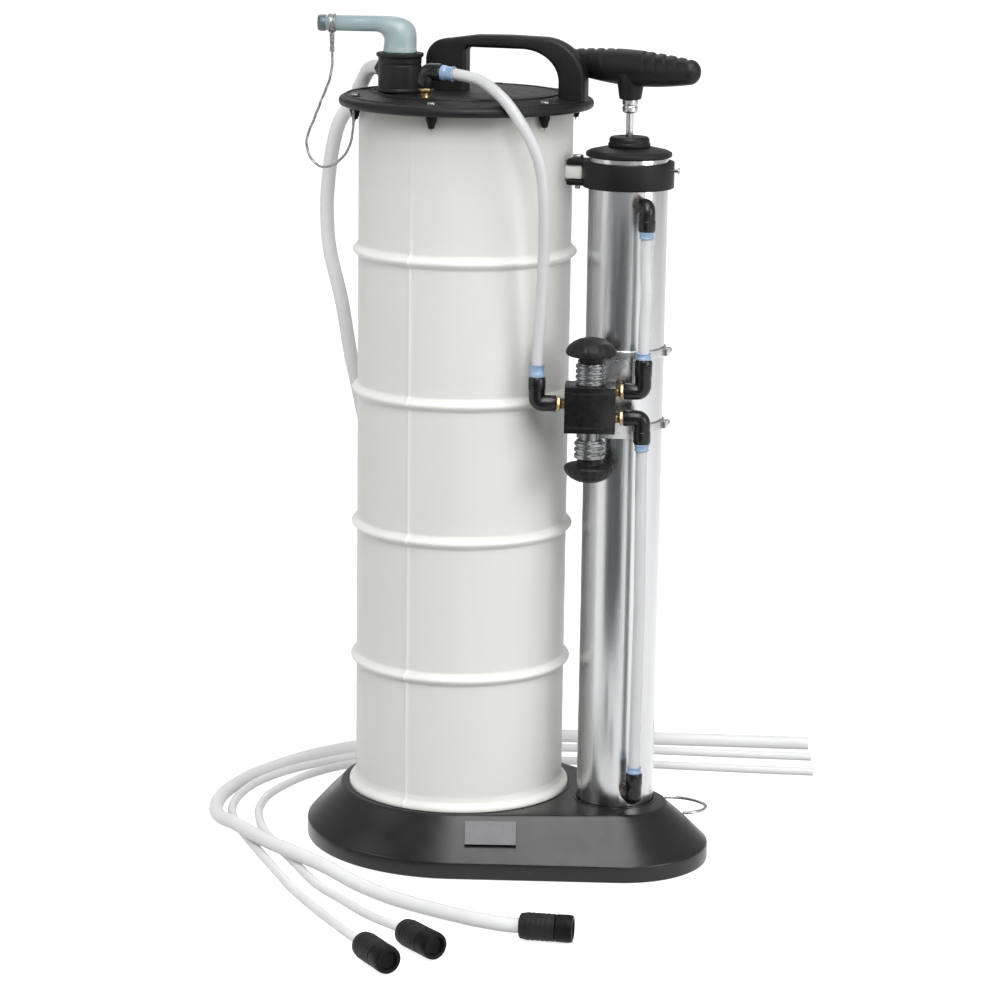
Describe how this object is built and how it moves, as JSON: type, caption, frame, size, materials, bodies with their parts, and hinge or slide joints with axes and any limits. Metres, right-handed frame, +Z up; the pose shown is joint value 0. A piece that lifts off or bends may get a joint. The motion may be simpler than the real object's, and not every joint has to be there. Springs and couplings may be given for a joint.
{
  "type": "fluid transfer pump",
  "caption": "Tall ribbed tank with a hand vacuum pump, change-over valve and air lines on one base, with a swivel spout, a carry handle and suction tubes.",
  "frame": {"origin": "on the floor, on the tank's vertical axis", "axes": "+Z up; +X along the base's straight front edge towards the hand pump's side; -Y is the front"},
  "size_m": [0.5745, 0.8717, 0.7525],
  "materials": {
    "black_plastic": "satin moulded",
    "rubber": "matte",
    "milky_plastic": "translucent blow-moulded",
    "aluminium": "polished",
    "steel": "plated",
    "blue_grey_plastic": "satin, slightly see-through",
    "blue_plastic": "moulded",
    "clear_tube": "milky see-through",
    "plate": "matte, blank"
  },
  "bodies": {
    "frame": {"base_shell": "black_plastic", "base_mat": "rubber", "name_plate": "plate", "tank": "milky_plastic", "tank_gasket": "rubber", "lid": "black_plastic", "lid_screw_1": "steel", "lid_screw_2": "steel", "lid_screw_3": "steel", "lid_screw_4": "steel", "lid_screw_5": "steel", "lid_screw_6": "steel", "carry_handle": "black_plastic", "spout_socket": "black_plastic", "lanyard": "steel", "float_cage": "black_plastic", "pump_tube": "aluminium", "pump_foot": "black_plastic", "pump_cap": "black_plastic", "rod_gland": "black_plastic", "clamp_band": "black_plastic", "clamp_bolt": "steel", "valve_bracket": "steel", "valve_body": "black_plastic", "elbow_lid": "black_plastic", "elbow_valve_tank": "black_plastic", "elbow_valve_upper": "black_plastic", "elbow_valve_lower": "black_plastic", "elbow_pump_top": "black_plastic", "elbow_pump_bottom": "black_plastic", "collar_lid": "blue_plastic", "collar_valve_tank": "blue_plastic", "collar_valve_upper": "blue_plastic", "collar_valve_lower": "blue_plastic", "collar_pump_top": "blue_plastic", "collar_pump_bottom": "blue_plastic", "vacuum_line": "clear_tube", "air_line_upper": "clear_tube", "air_line_lower": "clear_tube", "suction_hose": "clear_tube", "suction_coil": "clear_tube", "suction_connector": "rubber", "tube_large": "clear_tube", "tube_large_connector": "rubber", "tube_middle": "clear_tube", "tube_middle_connector": "rubber", "tube_inner": "clear_tube", "tube_inner_connector": "rubber", "tube_hook": "steel"},
    "piston": {"piston": "black_plastic", "piston_seal": "rubber"},
    "grip": {"pump_rod": "steel", "t_grip": "black_plastic"},
    "spool": {"valve_spool": "steel", "valve_knob_upper": "black_plastic", "valve_knob_lower": "black_plastic"},
    "spout": {"pour_spout": "blue_grey_plastic", "spout_oring": "rubber", "lanyard_clip": "steel"},
    "float": {"float": "milky_plastic"}
  },
  "joints": [
    {"name": "piston_slide", "type": "slide", "parent": "frame", "child": "piston", "axis": [0, 0, 1], "range_m": [0, 0.49]},
    {"name": "grip_spin", "type": "hinge", "parent": "piston", "child": "grip", "pos_m": [0.145, -0.0388, 0.68], "axis": [0, 0, 1], "range_deg": [-120, 0]},
    {"name": "spool_slide", "type": "slide", "parent": "frame", "child": "spool", "axis": [0, 0, 1], "range_m": [0, 0.007]},
    {"name": "spout_turn", "type": "hinge", "parent": "frame", "child": "spout", "pos_m": [-0.057, -0.026, 0.7195], "axis": [0, 0, 1], "range_deg": [-60, 75]},
    {"name": "float_slide", "type": "slide", "parent": "frame", "child": "float", "axis": [0, 0, 1], "range_m": [0, 0.02]}
  ]
}
